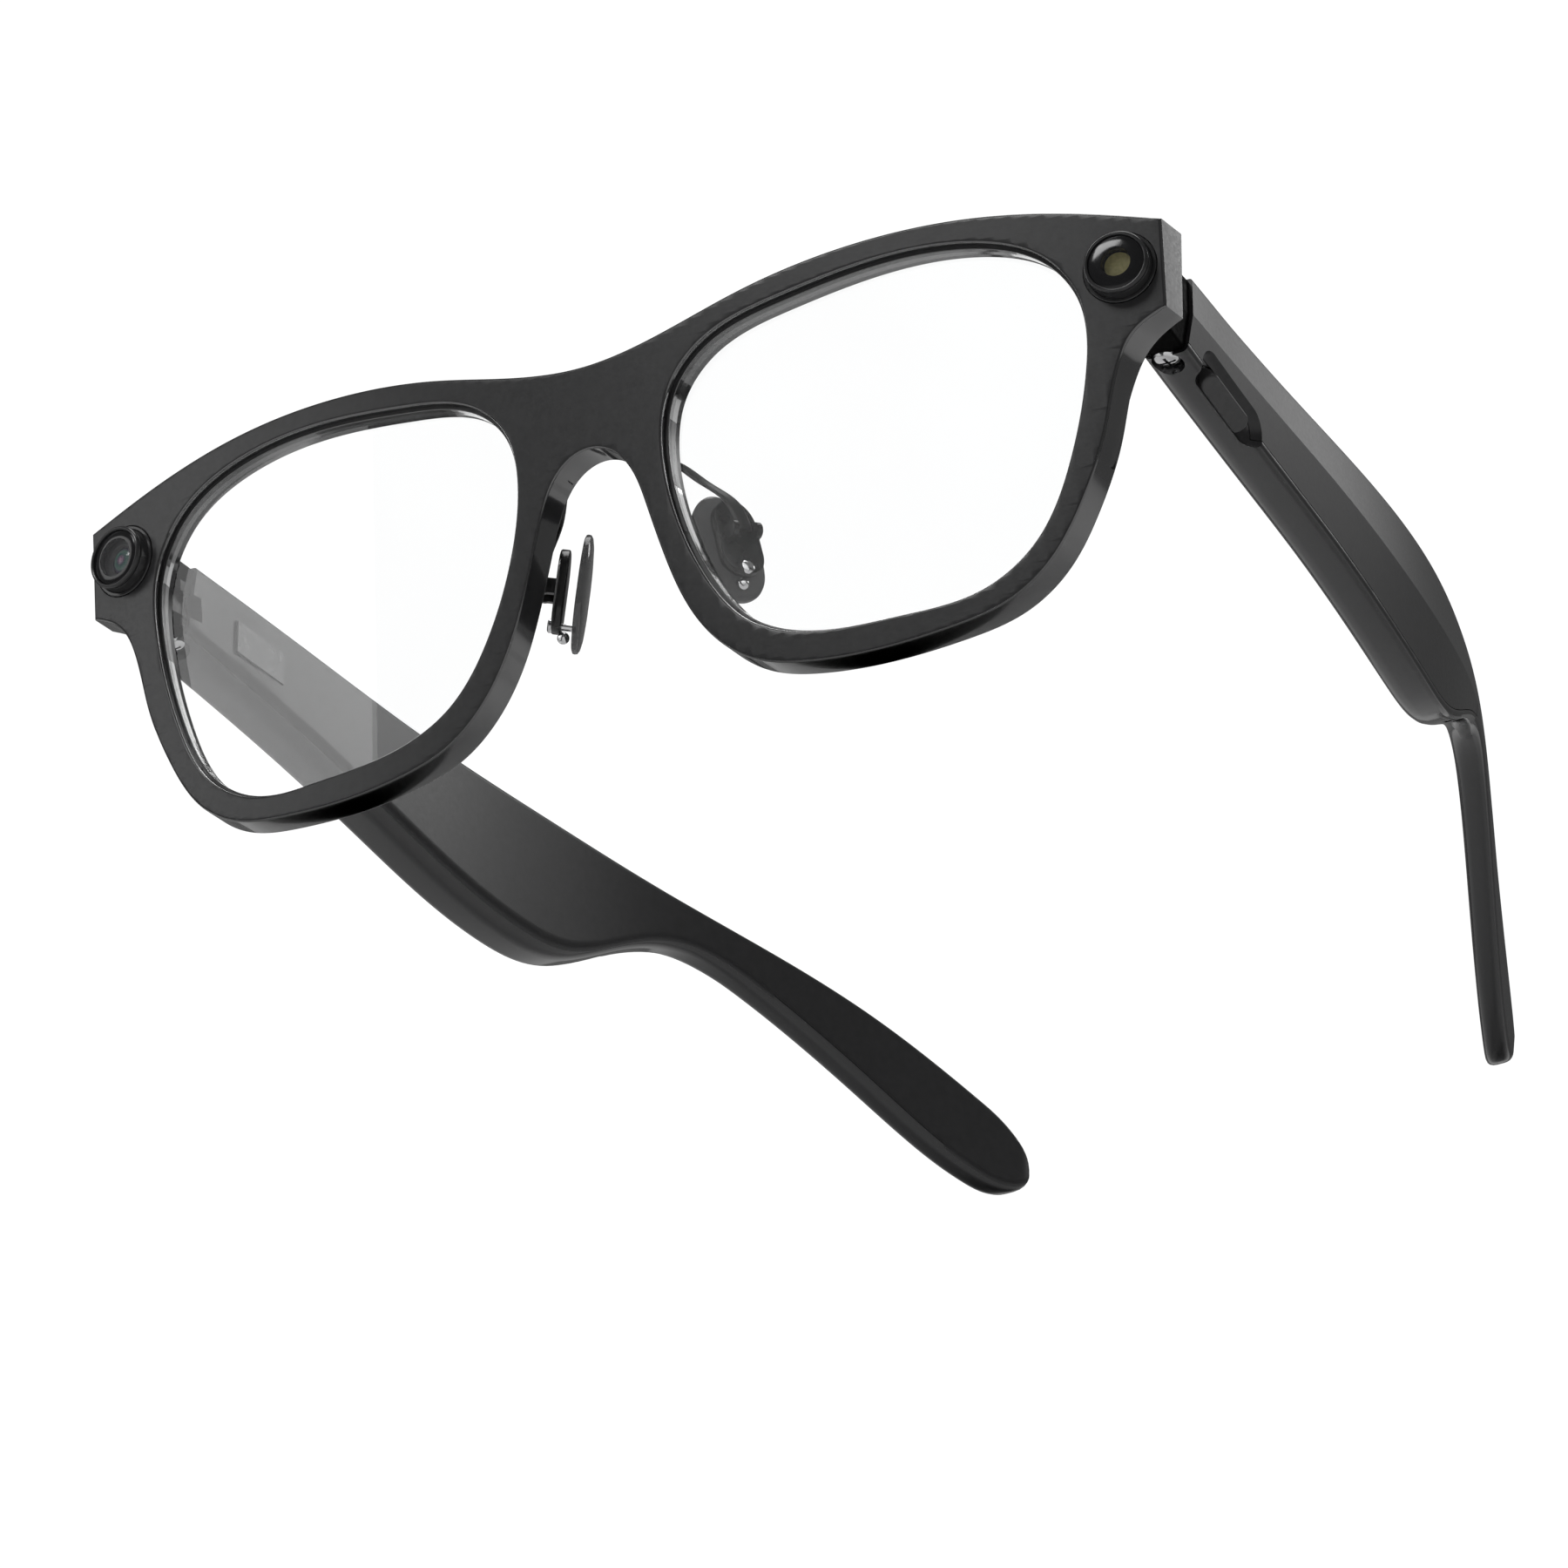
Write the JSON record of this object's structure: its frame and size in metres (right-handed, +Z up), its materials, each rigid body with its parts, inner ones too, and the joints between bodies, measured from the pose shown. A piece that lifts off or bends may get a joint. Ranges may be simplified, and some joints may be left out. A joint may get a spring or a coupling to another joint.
{
  "type": "smart glasses",
  "caption": "Full-rim smart glasses with folding temples, rocking nose pads, a corner camera, a corner light, a side button and sound slots.",
  "frame": {"origin": "bottom centre of the open glasses as they stand on a table, on their rims and temple tips", "axes": "+X to the wearer's left, +Y back along the temples, +Z up; the front faces -Y"},
  "size_m": [0.143, 0.1602, 0.0516],
  "materials": {
    "battery": "foil pouch",
    "bezel": "satin black",
    "black_barrel": "matte black",
    "black_metal": "black",
    "button": "satin black",
    "circuit_board": "green solder mask",
    "coated_glass": "green and violet coating",
    "contacts": "black plate",
    "cover_glass": "black-tinted",
    "emitter": "olive yellow",
    "frame_plastic": "satin black",
    "gloss_trim": "gloss black",
    "lens": "clear, slightly grey",
    "pad_mount": "dark",
    "polished_steel": "polished",
    "sensor": "dark sensor",
    "silicone": "translucent silicone",
    "speaker": "dark metal can",
    "steel": "brushed"
  },
  "bodies": {
    "front": {"lens_left": "lens", "hinge_front_leaf_left": "steel", "nose_pad_arm_left": "steel", "lens_right": "lens", "hinge_front_leaf_right": "steel", "nose_pad_arm_right": "steel", "camera_bezel": "bezel", "camera_cover_glass": "cover_glass", "camera_barrel": "black_barrel", "camera_front_element": "coated_glass", "camera_spacer_ring": "black_barrel", "camera_rear_element": "coated_glass", "camera_sensor": "sensor", "camera_board": "circuit_board", "light_bezel": "bezel", "light_cover": "cover_glass", "light_emitter": "emitter", "light_holder": "black_barrel", "light_board": "circuit_board", "front_frame": "frame_plastic"},
    "left_temple": {"temple_shell_left": "frame_plastic", "temple_outer_cover_left": "frame_plastic", "temple_end_cap_left": "gloss_trim", "temple_battery_left": "battery", "temple_circuit_board_left": "circuit_board", "temple_speaker_left": "speaker", "temple_speaker_grille_left": "black_metal", "temple_core_wire_left": "steel", "temple_button_switch_left": "black_metal", "temple_hinge_leaf_left": "steel", "temple_hinge_screw_left": "polished_steel"},
    "left_pad": {"nose_pad_left": "silicone", "nose_pad_mount_left": "pad_mount", "nose_pad_screw_left": "polished_steel"},
    "right_temple": {"temple_shell_right": "frame_plastic", "temple_outer_cover_right": "frame_plastic", "temple_end_cap_right": "gloss_trim", "temple_battery_right": "battery", "temple_circuit_board_right": "circuit_board", "temple_speaker_right": "speaker", "temple_speaker_grille_right": "black_metal", "temple_core_wire_right": "steel", "temple_contact_plate_right": "contacts", "temple_hinge_leaf_right": "steel", "temple_hinge_screw_right": "polished_steel"},
    "right_pad": {"nose_pad_right": "silicone", "nose_pad_mount_right": "pad_mount", "nose_pad_screw_right": "polished_steel"},
    "mode_button": {"temple_mode_button_left": "button"}
  },
  "joints": [
    {"name": "left_temple_fold", "type": "hinge", "parent": "front", "child": "left_temple", "pos_m": [0.0663, -0.06237, 0.03797], "axis": [0, 0.023, 0.9997], "range_deg": [0, 78]},
    {"name": "right_temple_fold", "type": "hinge", "parent": "front", "child": "right_temple", "pos_m": [-0.0663, -0.06237, 0.03797], "axis": [0, 0.023, 0.9997], "range_deg": [-78, 0]},
    {"name": "mode_button_press", "type": "slide", "parent": "left_temple", "child": "mode_button", "axis": [-0.6269, 0.1429, 0.7659], "range_m": [0, 0.0004], "stiffness_N_per_m": 600, "springref_m": -0.0006},
    {"name": "left_pad_rock", "type": "hinge", "parent": "front", "child": "left_pad", "pos_m": [0.01348, -0.06749, 0.02479], "axis": [0.4806, 0.8734, 0.0785], "range_deg": [-8, 8]},
    {"name": "right_pad_rock", "type": "hinge", "parent": "front", "child": "right_pad", "pos_m": [-0.01348, -0.06749, 0.02479], "axis": [-0.4806, 0.8734, 0.0785], "range_deg": [-8, 8]}
  ]
}
